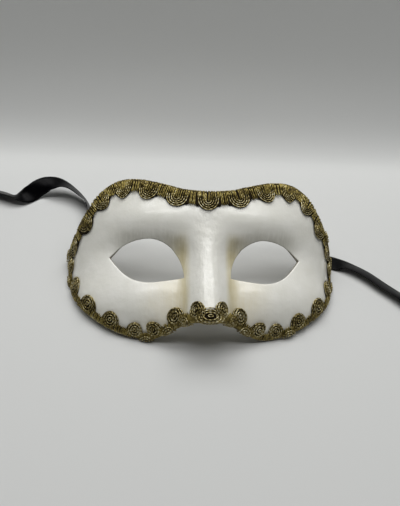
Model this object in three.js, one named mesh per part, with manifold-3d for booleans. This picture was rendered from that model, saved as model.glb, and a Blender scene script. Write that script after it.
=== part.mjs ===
// A white papier-mache half-mask with a gold braid round its rim and a black ribbon at each temple.
// Millimetres, +Z up. The mask lies on a table, face up and leaning back, on its cheeks and side rims.
// The face is described as the wearer's own: x across it, u up it and f out of it.
import * as THREE from "three";
import { mergeVertices } from "three/addons/utils/BufferGeometryUtils.js";
import Module from "manifold-3d";

const wasm = await Module();
wasm.setup();

// Driving dimensions
const HALF_WIDTH = 89; // where the curved sheet of the face would close at the sides
const DEPTH = 58; // from there forward to the middle of the face, nose left out
const ROUNDNESS = 2.1; // 2 makes the face's level section an ellipse, more makes it squarer
const WALL = 2.6; // papier-mache thickness
const LEAN = 38; // degrees by which the brow is raised, from a face that looks straight up
const SHIFT = 39.4; // from the face's own middle to the mask's middle on the table
const LIFT = -0.35; // lets the braid's lowest spots sink in, where they are pressed flat

// Nose: a ridge that grows from between the brows to the arch
const NOSE = {
  top: 14, // level where it starts
  length: 54,
  rise: 17, // height over the face at its full length
  narrow: 9.8, // half width at the top
  flare: 2.2, // added half width at its full length
  onset: 1.3, // more makes it start more gently
  shoulder: 2.4, // more makes its top flatter and its sides steeper
};

// Gentle swellings and hollows: centre, half sizes and rise
const MOULDING = [
  { x: 37, u: -9, wide: 26, high: 13, rise: -4.5 }, // eye socket
  { x: 16, u: -10, wide: 9, high: 13, rise: -3 }, // inner corner of the socket
  { x: 34, u: 16, wide: 26, high: 8, rise: 2 }, // brow
  { x: 46, u: -34, wide: 30, high: 14, rise: 3 }, // cheek
  { x: 80, u: -34, wide: 16, high: 14, rise: 4.5 }, // side of the cheek
];
const FOREHEAD = { from: 12, bend: 0.004 }; // slopes back above this level
const CHIN_SIDE = { from: -38, bend: 0.02, x: 37, wide: 22 }; // curls in below this level

// Right half of the rim, from the middle of the brow round to the middle of the nose arch
const RIM = [
  [0, 28.6], [14, 30], [28, 34.4], [41, 38], [54, 38], [66, 31.2], [75.5, 18.8],
  [83.5, 4.5], [87.4, -6], [86.6, -15], [84, -25.5], [79, -35], [68, -44.2],
  [56, -51], [43, -55.4], [33, -56.3], [23, -52], [13, -46.4], [0, -44.3],
];

// Right eye hole in three arcs that meet at its corners
const UPPER_LID = [[21.5, -3], [26.5, 0.5], [33, 2.7], [40, 2.5], [47, 0.6], [53, -2.7], [59.5, -8.3]];
const LOWER_LID = [
  [59.5, -8.3], [55, -13.6], [49.5, -18.8], [43, -22.3], [35, -23.6], [26, -22.8], [14, -20.9],
];
const INNER_SIDE = [[14, -20.9], [14.9, -14.8], [17.4, -8.6], [21.5, -3]];

// Braid: a scalloped gimp folded over the rim, with a short turn-in behind
const GAP = 0.3; // between pieces that touch
const BACK_GAP = 0.6; // under the turn-in, where the hollow side curves more tightly
const BRAID_THICK = 1.9;
const TIP_SHARE = 0.7; // of that thickness, at the lobes' tips
const TURN_IN_SHARE = 0.8; // and behind the rim
const LOBES_A_SIDE = 14.5;
const LOBE_CROWDING = 0.155; // lobes stand wider apart on the brow than at the nose
const LOBE_REACH = 10; // from the rim to a lobe's tip
const WAIST_REACH = { brow: 7, cheek: 4.5 }; // from the rim to the waist between two lobes
const WAIST_LEVELS = { brow: 20, cheek: -20 }; // it blends from one to the other between these
const TURN_IN = 3;
const CUTS_PER_LOBE = 6;

// Ribbons: flat, each glued inside a temple and running out over the table to its own coil
const RIBBON_WIDE = 12.5;
const RIBBON_THICK = 0.8;
const RIBBON_STEP = 9;
const LEFT_ROUTE = [
  [-163, 97.2, 1.5], [-155, 96.5, 2], [-147.5, 93.9, 3.1], [-137.4, 89.4, 4.6], [-130.6, 89.8, 3.8],
  [-124.4, 92.6, 4.6], [-119.6, 95.9, 6.8], [-114.9, 97.9, 8.5], [-110.7, 98.9, 9.6], [-105.6, 98.7, 10.2],
  [-100.2, 97.5, 10.2], [-94.5, 94.6, 9.2], [-89.6, 90.8, 7.8], [-85, 85.9, 6.4], [-80.9, 78.5, 5.8],
  [-79.4, 66, 5.8], [-77.6, 52, 6.5], [-75.6, 40, 8.3], [-72.6, 30, 11.5], [-70, 22, 14.5],
];
const RIGHT_ROUTE = [
  [147, -17.3, 1], [140.5, -11, 1], [134, -3.5, 1], [131.1, 0.6, 1.8], [122.8, 9.1, 2.3], [113.3, 19.3, 2.9],
  [103, 26.8, 2.4], [97, 31, 0.8], [89.5, 34, 0.7], [82, 33.6, 1.5], [75.5, 28, 5.5], [71, 21, 12],
];
const COIL_RADIUS = 62.5; // to the middle of the turns
const COIL_WIDE = 12;
const COIL_TALL = 13; // the ribbon stands on edge in it
const LEFT_COIL = [-214, 42];
const RIGHT_COIL = [213, 22];

const TABLE = { wide: 300, thick: 20 };

// Mesh steps
const BROW_STEPS = 22;
const CHEEK_STEPS = 34;
const NOSE_STEPS = 12;
const RINGS = 7;
const COIL_SEGMENTS = 36;

const white = new THREE.MeshStandardMaterial({ color: 0xe2e0d8, roughness: 0.35 });
const black = new THREE.MeshStandardMaterial({ color: 0x0c0c0e, roughness: 0.4 });
const gold = new THREE.MeshStandardMaterial({ color: 0x8a7840, roughness: 0.5, metalness: 0.4 });

// Height of the face's outer side
function faceHeight(x, u) {
  const across = Math.min(Math.abs(x) / HALF_WIDTH, 0.9999);
  let f = DEPTH * (1 - across ** ROUNDNESS) ** (1 / ROUNDNESS);
  const grown = Math.max((NOSE.top - u) / NOSE.length, 0);
  const half = NOSE.narrow + NOSE.flare * grown;
  f += NOSE.rise * grown ** NOSE.onset * Math.exp(-((Math.abs(x) / half) ** NOSE.shoulder));
  for (const m of MOULDING) {
    f += m.rise * Math.exp(-(((Math.abs(x) - m.x) / m.wide) ** 2) - ((u - m.u) / m.high) ** 2);
  }
  f -= FOREHEAD.bend * Math.max(u - FOREHEAD.from, 0) ** 2;
  const curl = Math.exp(-(((Math.abs(x) - CHIN_SIDE.x) / CHIN_SIDE.wide) ** 2));
  f -= CHIN_SIDE.bend * Math.max(CHIN_SIDE.from - u, 0) ** 2 * curl;
  return f;
}

// How steeply the face rises across and up
function slopes(x, u) {
  const d = 0.05;
  return [
    (faceHeight(x + d, u) - faceHeight(x - d, u)) / (2 * d),
    (faceHeight(x, u + d) - faceHeight(x, u - d)) / (2 * d),
  ];
}

function faceNormal(x, u) {
  const [sx, su] = slopes(x, u);
  return new THREE.Vector3(-sx, -su, 1).normalize();
}

// A point this far off the face
function facePoint(x, u, off = 0) {
  return new THREE.Vector3(x, u, faceHeight(x, u)).addScaledVector(faceNormal(x, u), off);
}

// The face's own frame to the table's frame
function laid(p) {
  const lean = THREE.MathUtils.degToRad(LEAN);
  return p.clone().applyAxisAngle(new THREE.Vector3(1, 0, 0), lean).add(new THREE.Vector3(0, SHIFT, LIFT));
}

// A body from a list of triangles of points in the face's frame
function bodyOf(triangles) {
  const geometry = new THREE.BufferGeometry();
  geometry.setAttribute(
    "position",
    new THREE.Float32BufferAttribute(triangles.flat().flatMap((p) => laid(p).toArray()), 3),
  );
  return geometry;
}

// The two triangles of a four-cornered patch
function patch(a, b, c, d) {
  return [[a, b, c], [a, c, d]];
}

// The rim's outline seen from the front, and the same line lifted onto the face
const leftRim = RIM.slice(1, -1).reverse().map(([x, u]) => [-x, u]);
const outline = new THREE.CatmullRomCurve3(
  [...RIM, ...leftRim].map(([x, u]) => new THREE.Vector3(x, u, 0)),
  true,
  "catmullrom",
);
const rimCurve = new THREE.Curve();
rimCurve.getPoint = (t) => {
  const p = outline.getPoint(t);
  return facePoint(p.x, p.y);
};
rimCurve.arcLengthDivisions = 2000;

// Evenly spaced points along one arc of the eye hole, its last one left to the next arc
function evenPoints(points, steps) {
  const curve = new THREE.SplineCurve(points.map(([x, u]) => new THREE.Vector2(x, u)));
  return curve.getSpacedPoints(steps).slice(0, -1).map((p) => [p.x, p.y]);
}

// The same along the rim between two shares of its length
function rimPoints(from, to, steps) {
  return Array.from({ length: steps }, (_, i) => {
    const p = rimCurve.getPointAt(THREE.MathUtils.lerp(from, to, i / steps));
    return [p.x, p.y];
  });
}

// Shell: rings from the eye hole out to the rim and the middle line, for each half
function shellGeometry() {
  const side = widestShare();
  const outer = [
    ...rimPoints(0, side, BROW_STEPS),
    ...rimPoints(side, 0.5, CHEEK_STEPS),
    ...evenPoints([RIM.at(-1), RIM[0]], NOSE_STEPS),
  ];
  const inner = [
    ...evenPoints(UPPER_LID, BROW_STEPS),
    ...evenPoints(LOWER_LID, CHEEK_STEPS),
    ...evenPoints(INNER_SIDE, NOSE_STEPS),
  ];
  const around = outer.length;
  const angle = (x) => Math.asin(x / HALF_WIDTH);
  const triangles = [];
  for (const mirror of [1, -1]) {
    const grid = (k, j, off) => {
      const [[x0, u0], [x1, u1]] = [inner[k % around], outer[k % around]];
      const x = HALF_WIDTH * Math.sin(THREE.MathUtils.lerp(angle(x0), angle(x1), j / RINGS));
      const u = THREE.MathUtils.lerp(u0, u1, j / RINGS);
      const p = facePoint(x, u, off);
      return p.setX(p.x * mirror);
    };
    const add = (a, b, c, d) => triangles.push(...(mirror > 0 ? patch(a, b, c, d) : patch(a, d, c, b)));
    for (let k = 0; k < around; k++) {
      for (let j = 0; j < RINGS; j++) {
        add(grid(k, j, 0), grid(k + 1, j, 0), grid(k + 1, j + 1, 0), grid(k, j + 1, 0));
        add(grid(k, j, -WALL), grid(k, j + 1, -WALL), grid(k + 1, j + 1, -WALL), grid(k + 1, j, -WALL));
      }
      add(grid(k, 0, 0), grid(k, 0, -WALL), grid(k + 1, 0, -WALL), grid(k + 1, 0, 0));
      if (k < BROW_STEPS + CHEEK_STEPS) {
        add(grid(k, RINGS, 0), grid(k + 1, RINGS, 0), grid(k + 1, RINGS, -WALL), grid(k, RINGS, -WALL));
      }
    }
  }
  return bodyOf(triangles);
}

// Share of the whole rim at which its right half is widest
function widestShare() {
  let best = 0;
  for (let i = 0; i <= 500; i++) {
    if (rimCurve.getPointAt(i / 1000).x > rimCurve.getPointAt(best).x) best = i / 1000;
  }
  return best;
}

// A place this far from the rim across the face, in direction (dx, du)
function walk(x, u, dx, du, far) {
  const steps = 8;
  for (let i = 0; i < steps; i++) {
    const [sx, su] = slopes(x, u);
    const stretch = Math.hypot(1, sx * dx + su * du);
    x += (dx * far) / steps / stretch;
    u += (du * far) / steps / stretch;
  }
  return [x, u];
}

// One cut through the braid at a share of the rim, lobes counted from the middle of the brow
function braidCut(share, lobes) {
  const p = rimCurve.getPointAt(share);
  const normal = faceNormal(p.x, p.y);
  const inward = rimCurve.getTangentAt(share).cross(normal).normalize();
  const flat = new THREE.Vector2(inward.x, inward.y).normalize();
  const lobe = 0.5 + 0.5 * Math.cos(2 * Math.PI * lobes);
  const brow = THREE.MathUtils.smoothstep(p.y, WAIST_LEVELS.cheek, WAIST_LEVELS.brow);
  const waist = THREE.MathUtils.lerp(WAIST_REACH.cheek, WAIST_REACH.brow, brow);
  const reach = waist + (LOBE_REACH - waist) * Math.sqrt(lobe);
  const tip = walk(p.x, p.y, flat.x, flat.y, reach);
  const middle = walk(p.x, p.y, flat.x, flat.y, reach / 2);
  const edge = walk(p.x, p.y, flat.x, flat.y, 1);
  const at = (out, up) => p.clone().addScaledVector(inward, -out).addScaledVector(normal, up);
  const beyond = GAP + BRAID_THICK;
  return [
    facePoint(...tip, GAP),
    facePoint(...tip, GAP + TIP_SHARE * BRAID_THICK),
    facePoint(...middle, GAP + BRAID_THICK),
    facePoint(...edge, GAP + BRAID_THICK),
    at(beyond, 0),
    at(beyond, -WALL),
    at(-TURN_IN, -WALL - BACK_GAP - TURN_IN_SHARE * BRAID_THICK),
    at(-TURN_IN, -WALL - BACK_GAP),
    at(GAP, -WALL - BACK_GAP),
    at(GAP, GAP),
    facePoint(...middle, GAP),
  ];
}

// Share of a half rim that a share of its lobes takes up: their number grows as the square of the way
function crowded(lobeShare) {
  const linear = 1 - LOBE_CROWDING;
  return (Math.sqrt(linear ** 2 + 4 * LOBE_CROWDING * lobeShare) - linear) / (2 * LOBE_CROWDING);
}

function braidGeometry() {
  const cuts = 2 * LOBES_A_SIDE * CUTS_PER_LOBE;
  const sections = Array.from({ length: cuts }, (_, i) => {
    const right = i <= cuts / 2;
    const lobeShare = (right ? i : cuts - i) / (cuts / 2);
    const way = crowded(lobeShare) / 2;
    return braidCut(right ? way : 1 - way, LOBES_A_SIDE * lobeShare);
  });
  const triangles = [];
  sections.forEach((section, i) => {
    const next = sections[(i + 1) % cuts];
    section.forEach((_, j) => {
      const k = (j + 1) % section.length;
      // the two halves' patches are parted mirror-wise
      const right = patch(next[j], next[k], section[k], section[j]);
      const left = patch(section[j], next[j], next[k], section[k]);
      triangles.push(...(i < cuts / 2 ? right : left));
    });
  });
  return bodyOf(triangles);
}

function solid(geometry) {
  const plain = geometry.clone();
  plain.deleteAttribute("normal");
  plain.deleteAttribute("uv");
  const { attributes, index } = mergeVertices(plain, 1e-4);
  const mesh = new wasm.Mesh({
    numProp: 3,
    vertProperties: attributes.position.array,
    triVerts: new Uint32Array(index.array),
  });
  return new wasm.Manifold(mesh);
}

function geometryOf(body) {
  const mesh = body.getMesh();
  const geometry = new THREE.BufferGeometry();
  geometry.setAttribute("position", new THREE.BufferAttribute(mesh.vertProperties, 3));
  geometry.setIndex(new THREE.BufferAttribute(mesh.triVerts, 1));
  return geometry;
}

// What would reach below the table is pressed flat against it
function pressed(geometry) {
  const table = new THREE.BoxGeometry(TABLE.wide, TABLE.wide, TABLE.thick);
  table.translate(0, 0, -TABLE.thick / 2);
  return geometryOf(solid(geometry).subtract(solid(table)));
}

// A flat section with bevelled edges, which lies flat where the route is level
function ribbon(route) {
  const [t, w, bevel] = [RIBBON_THICK / 2, RIBBON_WIDE / 2, RIBBON_THICK / 4];
  const quarter = [[t, w - bevel], [t - bevel, w]];
  const section = [
    ...quarter,
    ...quarter.toReversed().map(([a, b]) => [-a, b]),
    ...quarter.map(([a, b]) => [-a, -b]),
    ...quarter.toReversed().map(([a, b]) => [a, -b]),
  ];
  const path = new THREE.CatmullRomCurve3(route.map((p) => new THREE.Vector3(...p)));
  return new THREE.ExtrudeGeometry(new THREE.Shape(section.map((p) => new THREE.Vector2(...p))), {
    extrudePath: path,
    steps: Math.round(path.getLength() / RIBBON_STEP),
  });
}

// The closed ring that holds a coil's turns
function coil([x, y]) {
  const [near, far] = [COIL_RADIUS - COIL_WIDE / 2, COIL_RADIUS + COIL_WIDE / 2];
  const profile = [[near, 0], [far, 0], [far, COIL_TALL], [near, COIL_TALL], [near, 0]];
  const ring = new THREE.LatheGeometry(profile.map((p) => new THREE.Vector2(...p)), COIL_SEGMENTS);
  return ring.rotateX(Math.PI / 2).translate(x, y, 0);
}

function piece(name, geometry, material) {
  const mesh = new THREE.Mesh(geometry, material);
  mesh.name = name;
  return mesh;
}

const mask = new THREE.Group();
mask.add(piece("mask_shell", shellGeometry(), white));
mask.add(piece("edge_braid", pressed(braidGeometry()), gold));
mask.add(piece("ribbon_left", ribbon(LEFT_ROUTE), black));
mask.add(piece("ribbon_right", ribbon(RIGHT_ROUTE), black));
mask.add(piece("ribbon_left_coil", coil(LEFT_COIL), black));
mask.add(piece("ribbon_right_coil", coil(RIGHT_COIL), black));

export default mask;
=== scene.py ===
import math
import random

import bmesh
import bpy
from mathutils import Matrix, Quaternion, Vector, geometry


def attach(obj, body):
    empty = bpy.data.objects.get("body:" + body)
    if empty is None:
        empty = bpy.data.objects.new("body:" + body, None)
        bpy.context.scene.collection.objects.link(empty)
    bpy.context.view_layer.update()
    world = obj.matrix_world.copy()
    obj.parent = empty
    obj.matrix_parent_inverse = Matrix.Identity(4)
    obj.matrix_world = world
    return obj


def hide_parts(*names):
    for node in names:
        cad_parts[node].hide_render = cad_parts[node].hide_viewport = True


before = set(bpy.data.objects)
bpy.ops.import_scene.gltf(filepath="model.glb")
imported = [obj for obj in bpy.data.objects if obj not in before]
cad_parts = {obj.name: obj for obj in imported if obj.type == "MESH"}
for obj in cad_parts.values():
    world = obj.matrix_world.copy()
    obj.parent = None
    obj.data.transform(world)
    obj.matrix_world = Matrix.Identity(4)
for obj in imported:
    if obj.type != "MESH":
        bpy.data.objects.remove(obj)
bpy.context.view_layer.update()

# A white papier-mache half-mask lies on a pale table, face up, with a gold braid round its rim
# and a black satin ribbon running out from each temple.
# Metres, +Z up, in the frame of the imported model.
MM = 0.001

# Camera: a phone held above the near side of the table, 0.385 m from the mask, and turned a
# little about its own line of sight.
CAMERA_AIM = Vector((-0.112, 39.4, -0.35)) * MM
CAMERA_DISTANCE = 0.385
FOCAL_LENGTH, IMAGE_HEIGHT = 549, 506  # in pixels
camera = bpy.data.objects.new("camera", bpy.data.cameras.new("camera"))
bpy.context.scene.collection.objects.link(camera)
bpy.context.scene.camera = camera
azimuth, elevation, roll = math.radians(6.51), math.radians(46), math.radians(5.81)
sight = Vector((
    math.sin(azimuth) * math.cos(elevation),
    math.cos(azimuth) * math.cos(elevation),
    -math.sin(elevation),
))
camera.location = CAMERA_AIM - CAMERA_DISTANCE * sight
camera.rotation_mode = "QUATERNION"
camera.rotation_quaternion = sight.to_track_quat("-Z", "Y") @ Quaternion((0, 0, 1), roll)
camera.data.sensor_width = camera.data.sensor_height = 36
camera.data.lens = 36 * FOCAL_LENGTH / IMAGE_HEIGHT
camera.data.clip_start = 0.01


# Ribbons: 12.5 mm black polyester satin, one glued flat inside each temple and running out
# over the table in a loose curve. The rest of each, 0.7 m in all, is wound on edge in a round
# coil just outside the view.
RIBBON_WIDE = 12.5 * MM
RIBBON_THICK = 0.3 * MM
RIBBON_LENGTH = 0.70
COIL_RADIUS = 65 * MM  # the outermost turn
COIL_PITCH = 5 * MM
COIL_CENTRES = {"left": Vector((-214, 42)) * MM, "right": Vector((213, 22)) * MM}
# from the temple outward: x, y, z in millimetres and the tilt in degrees
RIBBON_ROUTES = {
    "left": [
        (-66.7, 10.8, 21.9, -124), (-71, 15.5, 19.5, -124), (-74, 22, 15.5, -115), (-76, 30, 11.5, -100),
        (-77.2, 40, 8.3, -88), (-78.3, 52, 6.5, -86), (-79.8, 66, 5.8, -88), (-80.9, 78.5, 5.8, -73),
        (-85, 85.9, 6.4, -55), (-89.6, 90.8, 7.8, -46), (-94.5, 94.6, 9.2, -37), (-100.2, 97.5, 10.2, -21),
        (-105.6, 98.7, 10.2, 1), (-110.7, 98.9, 9.6, 15), (-114.9, 97.9, 8.5, 32), (-119.6, 95.9, 6.8, 45),
        (-124.4, 92.6, 4.6, 42), (-130.6, 89.8, 3.8, 4), (-137.4, 89.4, 4.8, -36), (-147.5, 93.9, 3.9, -35),
        (-157, 97.5, 4.5, -45), (-170, 102, 6, -72), (-183, 105.5, 6.5, -90),
    ],
    "right": [
        (66.7, 10.8, 21.9, 124), (72.5, 14.1, 18.9, 120), (78, 20.5, 15, 90), (82, 26.3, 8, 40),
        (85.8, 30.5, 3, 8), (90.5, 31.3, 0.9, 0), (96.5, 29.6, 0.8, 5), (103, 26.8, 2.4, 26),
        (113.3, 19.3, 2.9, 26), (122.8, 9.1, 2.6, 26), (131.1, 0.6, 2.8, 28), (140.5, -11, 2.6, 25),
        (148, -18.2, 4.4, 45), (157, -25, 5.6, 65), (167.5, -31, 6.2, 80), (179, -35.8, 6.4, 90),
    ],
}
COIL_STARTS = {"left": 80, "right": 252}  # where each coil takes over, in degrees round its centre


def smooth_line(points, closed=False):
    """A smooth line of many points through a few."""
    count = len(points)
    line = []
    for i in range(count if closed else count - 1):
        a, b = points[i], points[(i + 1) % count]
        before = points[i - 1] if closed or i > 0 else a
        after = points[(i + 2) % count] if closed or i + 2 < count else b
        line += geometry.interpolate_bezier(a, a + (b - before) / 6, b - (after - a) / 6, b, 25)[:-1]
    return line + [points[0] if closed else points[-1]]


def spaced(line, distances, measured=None):
    """Points at these distances along a line, measured on the line itself or on a matching one."""
    measured = measured or line
    found, i, start = [], 0, 0.0
    for distance in distances:
        while True:
            step = (measured[i + 1] - measured[i]).length
            if distance <= start + step or i + 2 == len(line):
                break
            start += step
            i += 1
        found.append(line[i].lerp(line[i + 1], min((distance - start) / step, 1)))
    return found


def length_of(line):
    """The length of a line from point to point."""
    return sum((b - a).length for a, b in zip(line, line[1:]))


def net(bm, along, across, place, size=(1, 1), start=0):
    """A grid laid by place(share along, share across), its UV map measured in millimetres."""
    uv = bm.loops.layers.uv.verify()
    made = bmesh.ops.create_grid(bm, x_segments=along, y_segments=across, size=0.5, calc_uvs=True)
    for vert in made["verts"]:
        vert.co = place(vert.co.x + 0.5, vert.co.y + 0.5)
    for face in {face for vert in made["verts"] for face in vert.link_faces}:
        for loop in face.loops:
            loop[uv].uv = loop[uv].uv * Vector(size) + Vector((start, 0))


def linear(colour):
    """An sRGB hex colour as the linear colour that a shader takes."""
    parts = [int(colour[i:i + 2], 16) / 255 for i in (1, 3, 5)]
    return [c / 12.92 if c <= 0.04045 else ((c + 0.055) / 1.055) ** 2.4 for c in parts] + [1]


def add(tree, kind, settings=(), inputs=()):
    """Adds a node with its settings, and with its inputs set to values or linked to sockets.

    A colour ramp has its stops among the settings, as places and hex colours.
    """
    made = tree.nodes.new("ShaderNode" + kind)
    for key, value in dict(settings).items():
        if key != "stops":
            setattr(made, key, value)
            continue
        elements = made.color_ramp.elements
        while len(elements) < len(value):
            elements.new(1)
        for element, (place, colour) in zip(elements, value):
            element.position, element.color = place, linear(colour)
    for key, value in dict(inputs).items():
        if isinstance(value, bpy.types.NodeSocket):
            tree.links.new(value, made.inputs[key])
        else:
            made.inputs[key].default_value = value
    return made


def material(name):
    """A new material, its node tree and its shader."""
    made = bpy.data.materials.new(name)
    made.use_nodes = True
    return made, made.node_tree, made.node_tree.nodes["Principled BSDF"]


def smooth_object(name, bm, materials):
    """Turns a mesh into an object with smooth faces."""
    mesh = bpy.data.meshes.new(name)
    bm.to_mesh(mesh)
    bm.free()
    mesh.shade_smooth()
    made = bpy.data.objects.new(name, mesh)
    bpy.context.scene.collection.objects.link(made)
    for one in materials:
        mesh.materials.append(one)
    return made


def piece(name, bm, materials, slot, *nodes):
    """Turns a mesh into a named piece of the mask that stands for its CAD nodes."""
    made = smooth_object(name, bm, materials)
    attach(made, "root")
    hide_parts(*nodes)
    return made


# Polyester satin: long floats of warp along the ribbon give a soft lengthwise sheen, and a
# denser selvedge runs along each edge. The warp is drawn 0.8 mm apart, or it would be too fine
# to show.
satin, tree, shader = material("black_polyester_satin")
across = add(tree, "TexCoord").outputs["UV"]
warp = add(tree, "Mapping", (), {"Vector": across, "Scale": (0.12, 1.25, 1)}).outputs["Vector"]
warp = add(tree, "TexNoise", (), {"Vector": warp, "Scale": 1, "Detail": 2}).outputs["Fac"]
edge = add(tree, "SeparateXYZ", (), {"Vector": across}).outputs["Y"]
edge = add(tree, "Math", {"operation": "PINGPONG"}, {0: edge, 1: RIBBON_WIDE / MM / 2}).outputs["Value"]
edge = add(tree, "MapRange", (), {"Value": edge, "From Min": 0.3, "From Max": 1.0}).outputs["Result"]
woven = add(tree, "Math", {"operation": "MULTIPLY"}, {0: warp, 1: edge}).outputs["Value"]
black = add(tree, "ValToRGB", {"stops": [(0.2, "#010102"), (0.7, "#040405")]}, {"Fac": woven})
sheen = add(tree, "MapRange", (), {"Value": woven, "To Min": 0.42, "To Max": 0.3})
floats = add(tree, "Bump", (), {"Height": woven, "Strength": 0.25, "Distance": 0.1 * MM})
tree.links.new(black.outputs["Color"], shader.inputs["Base Color"])
tree.links.new(sheen.outputs["Result"], shader.inputs["Roughness"])
tree.links.new(floats.outputs["Normal"], shader.inputs["Normal"])
shader.inputs["Specular IOR Level"].default_value = 0.08
shader.inputs["Anisotropic"].default_value = 0.5

for side, route in RIBBON_ROUTES.items():
    line = smooth_line([Vector(stop[:3]) * MM for stop in route])
    tilts = smooth_line([Vector((stop[3], 0, 0)) for stop in route])
    start, centre = math.radians(COIL_STARTS[side]), COIL_CENTRES[side]
    lean = tilts[-1].x
    turned = 0
    while length_of(line) < RIBBON_LENGTH:
        turned += math.radians(4)
        radius = COIL_RADIUS - COIL_PITCH * turned / math.tau
        out = Vector((math.cos(start + turned), math.sin(start + turned), 0))
        line.append(Vector((centre.x, centre.y, RIBBON_WIDE / 2)) + radius * out)
        tilts.append(Vector((lean, 0, 0)))
    steps = 280
    evenly = [RIBBON_LENGTH * i / steps for i in range(steps + 1)]
    tilts = [tilt.x for tilt in spaced(tilts, evenly, line)]
    line = spaced(line, evenly)

    def on_ribbon(share, across):
        """A place on the ribbon: cupped a little, and cut on the slant at its loose end."""
        i = round(share * steps)
        ahead = (line[min(i + 1, steps)] - line[max(i - 1, 0)]).normalized()
        level = ahead.cross(Vector((0, 0, 1))).normalized()
        wide = Matrix.Rotation(math.radians(-tilts[i]), 3, ahead) @ level
        cup = 0.35 * MM * (1 - 4 * (across - 0.5) ** 2)
        slant = 5 * MM * (across - 0.5) * max(1 - (1 - share) * 40, 0)
        spot = line[i] + wide * RIBBON_WIDE * (across - 0.5) + wide.cross(ahead) * cup + ahead * slant
        spot.z = max(spot.z, RIBBON_THICK / 2)
        return spot

    bm = bmesh.new()
    net(bm, steps, 8, on_ribbon, (RIBBON_LENGTH / MM, RIBBON_WIDE / MM))
    name = "ribbon_" + side
    ribbon = piece("satin_" + name, bm, [satin], "ribbon", name, name + "_coil")
    wall = ribbon.modifiers.new("thickness", "SOLIDIFY")
    wall.thickness, wall.offset = RIBBON_THICK, 0


# Shell: papier-mache pressed by hand into a plaster mould, 2.6 mm thick, trimmed at the rim and
# the eye holes, painted with white gesso and brushed with a clear gloss varnish.
# The face is described as the wearer's own, in millimetres: x across it, u up it and f out of it.
HALF_WIDTH = 89  # of the round that the whole face is shaped over
DEPTH = 58
ROUNDNESS = 2.1  # 2 is an ellipse, and more is squarer
BROW_FALL, CHEEK_FALL = 0.004, 0.02  # how fast the brow and the cheeks turn back towards the rim
WALL = 2.6
LEAN, SHIFT, LIFT = 38, 39.4, -0.35  # degrees, and where the face's own origin lies on the table
NOSE = {"top": 14, "length": 54, "rise": 17, "narrow": 9.8, "flare": 2.2, "onset": 1.3, "shoulder": 2.4}
MOULDING = [  # x, u, half width, half height and rise of each swelling or hollow
    (37, -9, 26, 13, -4.5),  # eye socket
    (16, -10, 9, 13, -3),  # inner corner of the socket
    (34, 16, 26, 8, 2),  # brow
    (46, -34, 30, 14, 3),  # cheek
    (80, -34, 16, 14, 4.5),  # side of the cheek
    (37, -4, 24, 7.5, -3),  # roll of the upper lid, finer than the CAD's forms
]
RIM = [
    (0, 28.6), (14, 30), (28, 34.4), (41, 38), (54, 38), (66, 31.2), (75.5, 18.8), (83.5, 4.5),
    (87.4, -6), (86.6, -15), (84, -25.5), (79, -35), (68, -44.2), (56, -51), (43, -55.4), (33, -56.3),
    (23, -52), (13, -46.4), (0, -44.3),
]
UPPER_LID = [(21.5, -3), (26.5, 0.5), (33, 2.7), (40, 2.5), (47, 0.6), (53, -2.7), (59.5, -8.3)]
LOWER_LID = [(59.5, -8.3), (55, -13.6), (49.5, -18.8), (43, -22.3), (35, -23.6), (26, -22.8), (14, -20.9)]
INNER_SIDE = [(14, -20.9), (14.9, -14.8), (17.4, -8.6), (21.5, -3)]
LAID = (
    Matrix.Scale(MM, 4) @ Matrix.Translation((0, SHIFT, LIFT)) @ Matrix.Rotation(math.radians(LEAN), 4, "X")
)


def face_height(x, u):
    """How far the face's outer side stands out at a place on it."""
    x = min(abs(x), HALF_WIDTH * 0.9999)
    f = DEPTH * (1 - (x / HALF_WIDTH) ** ROUNDNESS) ** (1 / ROUNDNESS)
    grown = max((NOSE["top"] - u) / NOSE["length"], 0)
    half = NOSE["narrow"] + NOSE["flare"] * grown
    f += NOSE["rise"] * grown ** NOSE["onset"] * math.exp(-((x / half) ** NOSE["shoulder"]))
    for mx, mu, wide, high, rise in MOULDING:
        f += rise * math.exp(-(((x - mx) / wide) ** 2) - ((u - mu) / high) ** 2)
    f -= BROW_FALL * max(u - 12, 0) ** 2
    f -= CHEEK_FALL * max(-38 - u, 0) ** 2 * math.exp(-(((x - 37) / 22) ** 2))
    return f


def slopes(x, u):
    """How steeply the face rises there, across it and up it."""
    d = 0.05
    return (
        (face_height(x + d, u) - face_height(x - d, u)) / (2 * d),
        (face_height(x, u + d) - face_height(x, u - d)) / (2 * d),
    )


def face_normal(x, u):
    """The way straight out of the face at a place on it."""
    across, up = slopes(x, u)
    return Vector((-across, -up, 1)).normalized()


def face_point(x, u, off=0.0):
    """A point this far off the face."""
    return Vector((x, u, face_height(x, u))) + face_normal(x, u) * off


def shares(line, count, measured=None):
    """The line parted into this many equal lengths."""
    total = length_of(measured or line)
    return spaced(line, [total * i / count for i in range(count + 1)], measured)


BROW_STEPS, CHEEK_STEPS, NOSE_STEPS, RINGS = 46, 70, 24, 24
flat_rim = smooth_line([Vector((x, u, 0)) for x, u in RIM + [(-x, u) for x, u in RIM[-2:0:-1]]], True)
raised_rim = [face_point(p.x, p.y) for p in flat_rim]
half_rim = flat_rim[:len(flat_rim) // 2 + 1]
widest = max(range(len(half_rim)), key=lambda i: half_rim[i].x)
outer = shares(half_rim[:widest + 1], BROW_STEPS, raised_rim[:widest + 1])[:-1]
outer += shares(half_rim[widest:], CHEEK_STEPS, raised_rim[widest:len(half_rim)])[:-1]
outer += shares([Vector((*RIM[-1], 0)), Vector((*RIM[0], 0))], NOSE_STEPS)
inner = []
for arc, steps in ((UPPER_LID, BROW_STEPS), (LOWER_LID, CHEEK_STEPS), (INNER_SIDE, NOSE_STEPS)):
    inner = inner[:-1] + shares(smooth_line([Vector((x, u, 0)) for x, u in arc]), steps)
around = BROW_STEPS + CHEEK_STEPS + NOSE_STEPS


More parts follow.
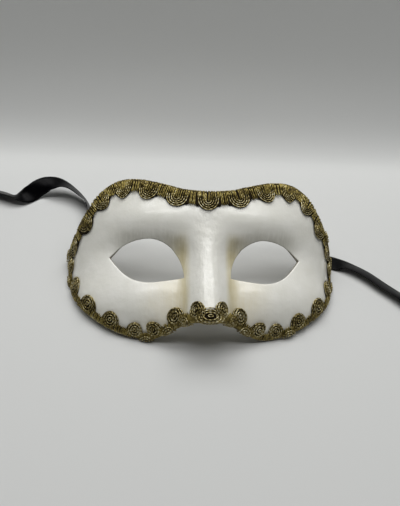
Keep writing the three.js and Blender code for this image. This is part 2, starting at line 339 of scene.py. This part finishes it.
def on_half(share, ring):
    """A place on the right half, from the eye hole out to the rim and the middle line."""
    k = round(share * around)
    a, b = math.asin(inner[k].x / HALF_WIDTH), math.asin(outer[k].x / HALF_WIDTH)
    x = HALF_WIDTH * math.sin(a + (b - a) * ring)
    return face_point(x, inner[k].y + (outer[k].y - inner[k].y) * ring)


def point_up(bm):
    """Turns the faces of an open sheet upwards."""
    bmesh.ops.recalc_face_normals(bm, faces=bm.faces)
    if sum(face.normal.z for face in bm.faces) < 0:
        bmesh.ops.reverse_faces(bm, faces=bm.faces)


bm = bmesh.new()
net(bm, around, RINGS, on_half)
bmesh.ops.remove_doubles(bm, verts=bm.verts, dist=1e-4)
bmesh.ops.mirror(bm, geom=bm.verts[:] + bm.edges[:] + bm.faces[:], merge_dist=1e-3, axis="X")
point_up(bm)
bmesh.ops.transform(bm, matrix=LAID, verts=bm.verts)

# White gesso under clear gloss varnish: an even warm white with a hard shine, drawn out in fine
# brush lines from brow to cheek. The varnish has yellowed where it gathered beside the nose. The
# eye sockets are painted grey, and the inner corners of the eyes a darker yellow-grey: painted
# shade in the hollows, over the yellowed varnish at the corners.
varnished, tree, shader = material("varnished_white_gesso")
spot = add(tree, "TexCoord").outputs["Object"]
upright = Matrix.Rotation(math.radians(-LEAN), 3, "X")
spot = add(tree, "Mapping", (), {
    "Vector": spot,
    "Location": tuple(upright @ Vector((0, -SHIFT, -LIFT))),
    "Rotation": (math.radians(-LEAN), 0, 0),
    "Scale": (1 / MM, 1 / MM, 1 / MM),
}).outputs["Vector"]
axes = add(tree, "SeparateXYZ", (), {"Vector": spot})
side = add(tree, "Math", {"operation": "ABSOLUTE"}, {0: axes.outputs["X"]}).outputs["Value"]
up = axes.outputs["Y"]


def region(*fades):
    """A mask over the face: each fade rises smoothly from 0 at its first value to 1 at its last."""
    mask = 1
    for value, low, high in fades:
        fade = add(tree, "MapRange", {"interpolation_type": "SMOOTHSTEP"}, {
            "Value": value, "From Min": low, "From Max": high,
        }).outputs["Result"]
        mask = add(tree, "Math", {"operation": "MULTIPLY"}, {0: mask, 1: fade}).outputs["Value"]
    return mask


cloud = add(tree, "TexNoise", (), {"Vector": spot, "Scale": 0.09, "Detail": 4}).outputs["Fac"]
brushed = add(tree, "Mapping", (), {"Vector": spot, "Scale": (0.8, 0.05, 0.3)}).outputs["Vector"]
brushed = add(tree, "TexNoise", (), {"Vector": brushed, "Scale": 1, "Detail": 3}).outputs["Fac"]
white = add(tree, "ValToRGB", {"stops": [(0.3, "#ecebe1"), (0.7, "#f4f3eb")]}, {"Fac": cloud})
white = white.outputs["Color"]
PATINA_AND_PAINTED_SHADE = [  # where it lies, in millimetres on the face, its strength and its two tints
    # the crease down each side of the nose
    ([(side, 9.5, 13.5), (side, 21, 14), (up, 10, -6)], 0.85, "#c4b78a", "#d6cca6"),
    # the inner cheek, under the eye
    ([(side, 12, 17), (side, 46, 18), (up, -17, -27)], 0.55, "#e0d3a8", "#e8dfc4"),
    # the inner corner of the eye: yellowed varnish, darkened further as painted shade
    ([(side, 12, 16), (side, 30, 18), (up, 8, 0), (up, -24, -12)], 0.75, "#a89d76", "#c4bb98"),
    # the eye socket: a grey painted shade in the hollow
    ([(side, 14, 26), (side, 62, 46), (up, 13, 3), (up, -8, -2)], 0.6, "#a5a294", "#bebcb0"),
]
for fades, strength, deep, thin in PATINA_AND_PAINTED_SHADE:
    patchy = region(*fades, (brushed, -0.3, 0.7))
    amount = add(tree, "Math", {"operation": "MULTIPLY"}, {0: patchy, 1: strength}).outputs["Value"]
    tint = add(tree, "ValToRGB", {"stops": [(0.3, deep), (0.7, thin)]}, {"Fac": cloud}).outputs["Color"]
    white = add(tree, "Mix", {"data_type": "RGBA"}, {0: amount, 6: white, 7: tint}).outputs[2]

# lumps of the pressed paper, ripples of varnish down the nose, and brush streaks over both
lumps = add(tree, "TexNoise", (), {"Vector": spot, "Scale": 0.16, "Detail": 3}).outputs["Fac"]
ripples = add(tree, "Mapping", (), {"Vector": spot, "Scale": (0.42, 0.2, 0.3)}).outputs["Vector"]
ripples = add(tree, "TexNoise", (), {"Vector": ripples, "Scale": 1, "Detail": 2}).outputs["Fac"]
ripples = add(tree, "Math", {"operation": "MULTIPLY"}, {0: ripples, 1: region((side, 12, 4))})
streaks = add(tree, "Mapping", (), {"Vector": spot, "Scale": (0.9, 0.09, 0.4)}).outputs["Vector"]
streaks = add(tree, "TexNoise", (), {"Vector": streaks, "Scale": 1, "Detail": 4}).outputs["Fac"]
relief = add(tree, "Bump", (), {"Height": lumps, "Strength": 0.4, "Distance": 0.8 * MM})
for height, strength, depth in ((ripples.outputs["Value"], 0.6, 0.9), (streaks, 0.2, 0.2)):
    relief = add(tree, "Bump", (), {
        "Height": height, "Normal": relief.outputs["Normal"], "Strength": strength, "Distance": depth * MM,
    })
gloss = add(tree, "MapRange", (), {"Value": streaks, "To Min": 0.42, "To Max": 0.26})
tree.links.new(white, shader.inputs["Base Color"])
tree.links.new(gloss.outputs["Result"], shader.inputs["Roughness"])
tree.links.new(relief.outputs["Normal"], shader.inputs["Normal"])
shader.inputs["Coat Weight"].default_value = 0.5
shader.inputs["Coat Roughness"].default_value = 0.18

# Bare papier-mache behind: layers of torn paper soaked in paste and left unpainted. It looks
# grey-white and quite matt, with the marks of the laps.
paper, tree, shader = material("bare_papier_mache")
spot = add(tree, "TexCoord").outputs["Object"]
laps = add(tree, "TexVoronoi", {"feature": "SMOOTH_F1"}, {"Vector": spot, "Scale": 55}).outputs["Distance"]
pulp = add(tree, "TexNoise", (), {"Vector": spot, "Scale": 420, "Detail": 5}).outputs["Fac"]
grey = add(tree, "ValToRGB", {"stops": [(0, "#cfc9b8"), (1, "#b9b19c")]}, {"Fac": laps})
rough = add(tree, "Bump", (), {"Height": laps, "Strength": 0.4, "Distance": 0.8 * MM}).outputs["Normal"]
rough = add(tree, "Bump", (), {"Height": pulp, "Normal": rough, "Strength": 0.5, "Distance": 0.3 * MM})
tree.links.new(grey.outputs["Color"], shader.inputs["Base Color"])
tree.links.new(rough.outputs["Normal"], shader.inputs["Normal"])
shader.inputs["Roughness"].default_value = 0.85

# Cut edge: the knife leaves the grey paper core bare, so it shows as a thin dull line round the
# eye holes.
trimmed, tree, shader = material("trimmed_paper_edge")
spot = add(tree, "TexCoord").outputs["Object"]
grain = add(tree, "TexNoise", (), {"Vector": spot, "Scale": 260, "Detail": 4}).outputs["Fac"]
grey = add(tree, "ValToRGB", {"stops": [(0.35, "#8f8a7c"), (0.65, "#b5b0a2")]}, {"Fac": grain})
tree.links.new(grey.outputs["Color"], shader.inputs["Base Color"])
shader.inputs["Roughness"].default_value = 0.7

shell = piece("papier_mache_shell", bm, [varnished, paper, trimmed], "shell", "mask_shell")
wall = shell.modifiers.new("wall", "SOLIDIFY")
wall.thickness, wall.offset, wall.use_even_offset = WALL * MM, -1, True
wall.material_offset, wall.material_offset_rim = 1, 2
wall.edge_crease_inner = wall.edge_crease_outer = 0.5
smooth = shell.modifiers.new("smooth", "SUBSURF")
smooth.levels = smooth.render_levels = 1


# Gimp tape: the dark woven ground of a scroll gimp, a flat trimming 18 mm wide with a scalloped
# edge. It is glued over the rim with its scrolls on the face and their other half turned in
# behind, and it is drawn tight across the dip of the brow.
LOBES_A_SIDE = 14.5  # scrolls from the middle of the brow to the middle of the nose arch
BROW_PITCH = 18  # from scroll to scroll on the brow
SWELL = 0.034  # how much they are drawn out at the temple and crowded on the cheek
SWELL_AT, SWELL_SPREAD = 9.3, 3.2  # where, in scrolls from the brow, and over how many
SCROLL_TALL = 5.6  # half the height of a scroll's round end on the brow
FOLD = 6.3  # the way round the rim's edge, from the face to the hollow side
TURNED_IN = -9.0  # where it ends behind
STAND_OFF, DIP = 2.3, 30  # off the rim in the dip of the brow, and how wide the dip is
TAPE_THICK, TAPE_WIDE = 0.75, 18
GAP, BACK_GAP = 0.3, 0.6  # glue under the tape, on the face and behind
SAMPLES, REACH_STEPS = 3000, 5  # places round the rim, and steps in from it across the face
lobes = round(2 * LOBES_A_SIDE)
rim_length = length_of(raised_rim)
rim_places = spaced(flat_rim, [rim_length * i / SAMPLES for i in range(SAMPLES + 1)], raised_rim)
rim_frames = []
for i in range(SAMPLES):
    here, ahead, behind = (rim_places[(i + n) % SAMPLES] for n in (0, 1, -1))
    normal = face_normal(here.x, here.y)
    run = (face_point(ahead.x, ahead.y) - face_point(behind.x, behind.y)).normalized()
    rim_frames.append((face_point(here.x, here.y), normal, run.cross(normal).normalized()))


def half_share(lobe):
    """Share of a half rim at a lobe: even, but drawn out at the temple and crowded on the cheek."""
    swell, end = (math.exp(-(((n - SWELL_AT) / SWELL_SPREAD) ** 2)) for n in (lobe, LOBES_A_SIDE))
    return lobe / LOBES_A_SIDE * (1 - SWELL * end) + SWELL * swell


def share_at(lobe):
    """Share of the whole rim at a lobe number, counted from the middle of the brow."""
    lobe %= 2 * LOBES_A_SIDE
    if lobe <= LOBES_A_SIDE:
        return half_share(lobe) / 2
    return 1 - half_share(2 * LOBES_A_SIDE - lobe) / 2


def pitch_at(lobe):
    """Millimetres from scroll to scroll."""
    return (share_at(lobe + 0.01) - share_at(lobe - 0.01)) % 1 * rim_length / 0.02


def rim_frame(share):
    """The rim's place, its normal and its way in across the face."""
    at = share % 1 * SAMPLES
    i = int(at)
    a, b = rim_frames[i % SAMPLES], rim_frames[(i + 1) % SAMPLES]
    return [p.lerp(q, at - i) for p, q in zip(a, b)]


def stand_off(place):
    """How far the braid stands out from the rim where it is drawn across the dip of the brow."""
    return STAND_OFF * math.exp(-((place.x / DIP) ** 2)) if place.y > 0 else 0


def on_braid(lobe, reach, height):
    """A place on the braid: reach is how far in from the rim, and below 0 round it and behind."""
    place, normal, inward = rim_frame(share_at(lobe))
    off = stand_off(place)
    if reach > off:
        reach -= off
        way = Vector((inward.x, inward.y)).normalized()
        x, u = place.x, place.y
        for _ in range(REACH_STEPS):
            across, up = slopes(x, u)
            stretch = math.hypot(1, across * way.x + up * way.y)
            x += way.x * reach / REACH_STEPS / stretch
            u += way.y * reach / REACH_STEPS / stretch
        return face_point(x, u, GAP + height)
    turn = min((off - reach) / (FOLD + off), 1) * math.pi
    gap = GAP + (BACK_GAP - GAP) * turn / math.pi
    out = (GAP + height + off) * math.sin(turn)
    rise = -WALL / 2 + (WALL / 2 + gap + height) * math.cos(turn)
    if reach < -FOLD:
        out = reach + FOLD
    return place - inward * out + normal * rise


def brow_share(lobe):
    """1 on the brow, where the scrolls are wide, down to 0 on the cheeks."""
    u = rim_frame(share_at(lobe))[0].y
    t = min(max((u + 20) / 40, 0), 1)
    return t * t * (3 - 2 * t)


def side_share(lobe):
    """1 at the temple, where the scrolls are pulled flat, down to 0 on the brow and the cheek."""
    u = rim_frame(share_at(lobe))[0].y
    return math.exp(-(((u + 2) / 14) ** 2))


def lobe_tip(lobe):
    """How far in from the rim a scroll reaches."""
    return 10 + 0.9 * brow_share(lobe) - 2.2 * side_share(lobe)


def waist(lobe):
    """How far in the braid reaches between two scrolls, widest at the middle of the nose arch."""
    nose = max(1 - abs(lobe - LOBES_A_SIDE) / 0.5, 0) ** 0.5
    off = stand_off(rim_frame(share_at(lobe))[0])
    return max(4.5 + 2.5 * brow_share(lobe) + 0.9 * off + 1.2 * side_share(lobe), 4.5 + 2.4 * nose)


def tape_edge(lobe):
    """How far in the tape reaches, under the scrolls and between them."""
    pitch = pitch_at(lobe)
    scale = pitch / BROW_PITCH
    side = (lobe - round(lobe)) * pitch
    wide, tall = (6 + 0.6 * brow_share(lobe)) * scale, SCROLL_TALL * scale
    if abs(side) >= wide:
        return waist(lobe) - 1.2
    return max(waist(lobe), lobe_tip(lobe) - tall + tall * math.sqrt(1 - (side / wide) ** 2))


def on_tape(share, round_it):
    """A place on the tape's outline, which runs in over its upper side and back under it."""
    lobe = share * lobes
    upper = round_it < 0.5
    along = 1 - 2 * round_it if upper else 2 * round_it - 1
    reach = TURNED_IN + (tape_edge(lobe) - TURNED_IN) * along
    edge = math.sqrt(max(1 - abs(2 * along - 1) ** 24, 0))
    half = TAPE_THICK / 2
    return on_braid(lobe, reach, half + half * edge * (1 if upper else -1))


def laid_flat(bm):
    """Closes a mesh and lays it on the table, where what would reach below it is pressed flat."""
    bmesh.ops.remove_doubles(bm, verts=bm.verts, dist=1e-4)
    bmesh.ops.recalc_face_normals(bm, faces=bm.faces)
    bmesh.ops.transform(bm, matrix=LAID, verts=bm.verts)
    for vert in bm.verts:
        vert.co.z = max(vert.co.z, 0)


bm = bmesh.new()
net(bm, lobes * 22, 40, on_tape, (rim_length, 2 * TAPE_WIDE))
laid_flat(bm)

# Woven olive ground: warp and weft of cotton, quite matt and nearly black, so that only the gold
# on top of it shines.
tape, tree, shader = material("dark_woven_tape")
across = add(tree, "TexCoord").outputs["UV"]
threads = add(tree, "TexWave", {"bands_direction": "X"}, {
    "Vector": across, "Scale": 0.35, "Distortion": 1.5, "Detail": 2, "Detail Scale": 1.5,
}).outputs["Fac"]
olive = add(tree, "ValToRGB", {"stops": [(0.2, "#0a0702"), (0.9, "#2b220b")]}, {"Fac": threads})
weave = add(tree, "Bump", (), {"Height": threads, "Strength": 0.6, "Distance": 0.3 * MM})
tree.links.new(olive.outputs["Color"], shader.inputs["Base Color"])
tree.links.new(weave.outputs["Normal"], shader.inputs["Normal"])
shader.inputs["Roughness"].default_value = 0.8
shader.inputs["Specular IOR Level"].default_value = 0.15
piece("gimp_tape", bm, [tape], "braid", "edge_braid")


# Gimp scrolls: four gold gimp cords laid side by side in a serpentine and sewn to the tape. On
# the cheeks each scroll closes into a round knot of three rings, the one at the middle of the
# nose arch is a broad oval on top of the others, and loose loops stand out past the rim.
CORDS = (1.95, 0.65, -0.65, -1.95)  # places of the four cords across the serpentine
CORD_RADIUS, RING_RADIUS = 0.32, 0.35
SWING = math.radians(92)  # how far the serpentine turns back on itself
SQUEEZE = 0.8  # its height against its free height
PINCH = 0.04  # how much each scroll is drawn together at its neck
STEPS = 48  # in each scroll
KNOT = (5.5, 3.9, 4.3, 3, 1.6)  # middle and half sizes in millimetres, number of rings, and height
OVAL = (0.8, 7.2, 4.7, 4, 2.1)
LOOP = (-1.2, 3.9, 3.6, 3, 2.0)
LOOP_PLACES = (5.5, 6.6, 7.6, 10.5, 12.5, 13.4, 15.6, 16.5, 17.5, 21.5, 22.5)  # lobe numbers
rng = random.Random(4)  # the hand-laid unevenness of the threads


def cord(bm, places, uppers, radius, tapered, start=0):
    """A round cord through the places, closed in a loop or tapered to a point at both ends."""
    count = len(places)
    steps = count - 1 if tapered else count
    long = length_of(places)

    def on_cord(share, turn):
        i = round(share * steps) % count
        after = places[min(i + 1, steps)] if tapered else places[(i + 1) % count]
        before = places[max(i - 1, 0)] if tapered else places[i - 1]
        ahead = (after - before).normalized()
        side = ahead.cross(uppers[i]).normalized()
        thick = radius
        if tapered:
            thick *= max(1 - abs(2 * share - 1) ** 8, 0)
        angle = turn * math.tau
        return places[i] + (side * math.cos(angle) + side.cross(ahead) * math.sin(angle)) * thick

    net(bm, steps, 6, on_cord, (long, 1), start)


# each cord follows the same meander, side by side with the others
meander = [Vector((0, 0))]
for i in range(STEPS * 8):
    heading = -SWING * math.sin(math.tau * (i + 0.5) / (STEPS * 8))
    meander.append(meander[-1] + Vector((math.cos(heading), math.sin(heading))))
wave = meander[-1].x
meander = [Vector((p.x, p.y - min(q.y for q in meander) / 2)) / wave for p in meander[::8]]


def on_serpentine(lobe, step, offset, height):
    """A place on one of the serpentine's cords."""
    scale = pitch_at(lobe) / BROW_PITCH
    heading = -SWING * math.sin(math.tau * step / STEPS)
    sway = Vector((-math.sin(heading), math.cos(heading))) * offset * scale
    way = meander[step]
    along = way.x - PINCH * math.sin(math.tau * way.x) + sway.x / (BROW_PITCH * scale)
    swing = meander[0].y * BROW_PITCH * scale * SQUEEZE
    reach = lobe_tip(lobe) - CORDS[0] * scale - swing + way.y * BROW_PITCH * scale * SQUEEZE + sway.y
    return on_braid(lobe + along, reach, height)


# its legs dip under the wrapping, and its bights on the cheeks dip under their knots
bm = bmesh.new()
for offset in CORDS:
    places, uppers = [], []
    for lobe in range(lobes):
        for step in range(STEPS):
            legs = math.sin(math.tau * step / STEPS) ** 2
            arch = max(math.cos(math.tau * step / STEPS), 0) * (1 - brow_share(lobe))
            low = on_serpentine(lobe, step, offset, 1.0 - 0.25 * legs - 0.4 * arch)
            high = on_serpentine(lobe, step, offset, 3.0)
            places.append(low)
            uppers.append((high - low).normalized())
    cord(bm, places, uppers, CORD_RADIUS, False, offset)

# each ring of a knot lies inside the last one and a little higher
knots = [(lobe, *KNOT) for lobe in range(lobes) if rim_frame(share_at(lobe))[0].y < -10]
knots += [(LOBES_A_SIDE, *OVAL)] + [(lobe, *LOOP) for lobe in LOOP_PLACES]
for lobe, middle, wide, tall, rings, height in knots:
    pitch = pitch_at(lobe)
    for ring in range(rings):
        size = (rings - ring - 0.45) / (rings - 0.45)
        places, uppers = [], []
        turns = round(10 + 22 * size)
        for k in range(turns):
            angle = math.tau * k / turns
            along = lobe + wide * size * math.cos(angle) / pitch
            reach = middle + tall * size * math.sin(angle) + rng.uniform(-0.05, 0.05)
            low = on_braid(along, reach, height + 0.25 * (1 - size))
            places.append(low)
            uppers.append((on_braid(along, reach, 4) - low).normalized())
        cord(bm, places, uppers, RING_RADIUS, False, ring)
laid_flat(bm)


# Metal thread: a flat gilt strip lapped round a cotton core. The laps break its glitter, and the
# crest of each lap is painted pale, a painted highlight. Wear dulls its shine in patches, and the
# gilt is painted darker towards the lower edge of the mask, a painted shade below the eyes. The
# laps are drawn about 1 mm apart, or they would be too fine to show.
def metal_thread(name, dark, middle, light, lap, depth):
    made, tree, shader = material(name)
    coords = add(tree, "TexCoord").outputs
    spot = coords["Object"]
    laps = add(tree, "Mapping", (), {"Vector": coords["UV"], "Scale": (math.tau / lap, math.tau, 1)})
    laps = add(tree, "TexWave", {"bands_direction": "DIAGONAL"}, {
        "Vector": laps.outputs["Vector"], "Scale": 0.05, "Distortion": 0.6, "Detail": 1,
    }).outputs["Fac"]
    worn = add(tree, "TexNoise", (), {"Vector": spot, "Scale": 240, "Detail": 4}).outputs["Fac"]
    mixed = add(tree, "Math", {"operation": "MULTIPLY_ADD"}, {0: laps, 1: depth, 2: worn})
    # the palest stop, on the crest of each lap, is a painted highlight
    gilt = add(tree, "ValToRGB", {"stops": [(0.42, dark), (0.66, middle), (0.9, light)]}, {
        "Fac": mixed.outputs["Value"],
    })
    # painted shade: the gilt is darkened towards the lower edge of the mask, below the eyes
    lower_edge_shade = add(tree, "MapRange", (), {
        "Value": add(tree, "SeparateXYZ", (), {"Vector": spot}).outputs["Y"],
        "From Min": 20 * MM, "From Max": 50 * MM, "To Min": 0.35, "To Max": 0,
    })
    gilt = add(tree, "Mix", {"data_type": "RGBA"}, {
        0: lower_edge_shade.outputs["Result"], 6: gilt.outputs["Color"], 7: linear(dark),
    })
    ridges = add(tree, "Bump", (), {"Height": laps, "Strength": 2 * depth, "Distance": 0.15 * MM})
    dull = add(tree, "MapRange", (), {"Value": worn, "To Min": 0.22, "To Max": 0.5})
    tree.links.new(gilt.outputs[2], shader.inputs["Base Color"])
    tree.links.new(ridges.outputs["Normal"], shader.inputs["Normal"])
    tree.links.new(dull.outputs["Result"], shader.inputs["Roughness"])
    shader.inputs["Metallic"].default_value = 0.6
    return made


# the third and palest colour is a painted highlight on the crests of the laps
gimp = metal_thread("gilt_gimp_cord", "#4a3f1a", "#b3a160", "#f4ecc6", 1.0, 0.3)
piece("gimp_scrolls", bm, [gimp], "braid", "edge_braid")


# Gimp wrapping: the same metal thread, a shade browner, wound across the braid close together, in
# the bays between the scrolls and over their legs. It was wound by hand, so it lies a little
# unevenly, and it stops at the edge of a knot.
RIB_PITCH = 1.08  # from turn to turn
RIB_RADIUS = 0.4
RIB_STEPS = 8
bm = bmesh.new()
ribs = round(rim_length / RIB_PITCH)
for i in range(ribs):
    lobe = (i + rng.uniform(-0.07, 0.07)) / ribs * lobes
    pitch = pitch_at(lobe)
    scale = pitch / BROW_PITCH
    side = abs(lobe - round(lobe)) * pitch
    brow = brow_share(lobe)
    base = lobe_tip(lobe) - SCROLL_TALL * scale
    if side < 2.6 * scale:  # between the legs of a scroll
        inner_end = base + 1.6 * scale * brow - 1.2 * (1 - brow)
    elif side < 6.6 * scale:  # over a leg
        inner_end = base - 0.8
    else:  # in a bay
        inner_end = waist(lobe) + 0.3
    outer_end = -0.3 if side > 7.6 * scale else -2.8 if side > 6.6 * scale else -5.5
    knot = next((k for k in knots if k[1] > 0 and abs(lobe - k[0]) * pitch < k[2]), None)
    if knot:
        centre, middle, wide, tall, _, _ = knot
        inner_end = middle - tall * math.sqrt(1 - (abs(lobe - centre) * pitch / wide) ** 2) + 0.6
        if inner_end < outer_end + 1.5:
            continue
    inner_end += rng.uniform(-0.3, 0.3)
    curve = rng.uniform(-0.03, 0.03)
    places, uppers = [], []
    for j in range(RIB_STEPS + 1):
        reach = outer_end + (inner_end - outer_end) * j / RIB_STEPS
        bend = curve * math.sin(math.pi * j / RIB_STEPS)
        low = on_braid(lobe + bend, reach, 1.05 + rng.uniform(-0.05, 0.05))
        places.append(low)
        uppers.append((on_braid(lobe + bend, reach, 2.0) - low).normalized())
    cord(bm, places, uppers, RIB_RADIUS, True, rng.uniform(0, 9))
laid_flat(bm)
# the third and palest colour is a painted highlight on the crests of the laps
wrap = metal_thread("gilt_wrapping_thread", "#4e4116", "#a08f4a", "#e2d696", 1.4, 0.16)
piece("gimp_wrapping", bm, [wrap], "braid", "edge_braid")


# Table and sweep: one sheet of pale matt card, laid flat under the mask and turned up behind it
# in a soft curve. Its grey-white face scatters light evenly. Seen from its back it is clear, so
# that it hides nothing.
TABLE_FRONT, TABLE_BACK = -2, 0.145
SWEEP_WIDE, SWEEP_TOP = 6, 0.13
SWEEP_SLOPE, SWEEP_BEND, SWEEP_STEP = math.radians(88), 0.045, 0.003
profile = [Vector((TABLE_FRONT, 0)), Vector((TABLE_BACK, 0))]
while profile[-1].y < SWEEP_TOP:
    turn = SWEEP_SLOPE * (1 - math.exp((2 - len(profile)) * SWEEP_STEP / SWEEP_BEND))
    profile.append(profile[-1] + SWEEP_STEP * Vector((math.cos(turn), math.sin(turn))))


def on_sweep(share, across):
    """A place on the sheet, from its front edge to its top."""
    spot = profile[round(share * (len(profile) - 1))]
    return Vector((SWEEP_WIDE * (across - 0.5), spot.x, spot.y))


bm = bmesh.new()
net(bm, len(profile) - 1, 4, on_sweep)
point_up(bm)
card, tree, shader = material("pale_matt_card")
shader.inputs["Base Color"].default_value = linear("#d4d5d3")
shader.inputs["Roughness"].default_value = 0.9
shader.inputs["Specular IOR Level"].default_value = 0.15
behind = add(tree, "NewGeometry").outputs["Backfacing"]
clear = add(tree, "BsdfTransparent").outputs["BSDF"]
seen = add(tree, "MixShader", (), {0: behind, 1: shader.outputs["BSDF"], 2: clear}).outputs["Shader"]
tree.links.new(seen, tree.nodes["Material Output"].inputs["Surface"])
sweep = smooth_object("sweep", bm, [card])

# Light: three long soft strips overhead, from just in front of the mask to well behind it, and a
# weak low one from the viewer's side.
bpy.context.scene.view_settings.view_transform = "Standard"
for name, lean, power in (("low", -72, 0.5), ("front", -5, 3.6), ("middle", 15, 3.9), ("back", 30, 3.3)):
    light = bpy.data.lights.new("strip_" + name, "AREA")
    light.shape, light.size, light.size_y, light.energy = "RECTANGLE", 1.2, 0.2, power
    lamp = bpy.data.objects.new("strip_" + name, light)
    lamp.location = (0, math.sin(math.radians(lean)), math.cos(math.radians(lean)))
    lamp.rotation_euler = (-lamp.location).to_track_quat("-Z", "Y").to_euler()
    bpy.context.scene.collection.objects.link(lamp)
room = bpy.data.worlds.new("room")
room.use_nodes = True
room.node_tree.nodes["Background"].inputs["Color"].default_value = linear("#c9cbcf")
room.node_tree.nodes["Background"].inputs["Strength"].default_value = 0.05
bpy.context.scene.world = room
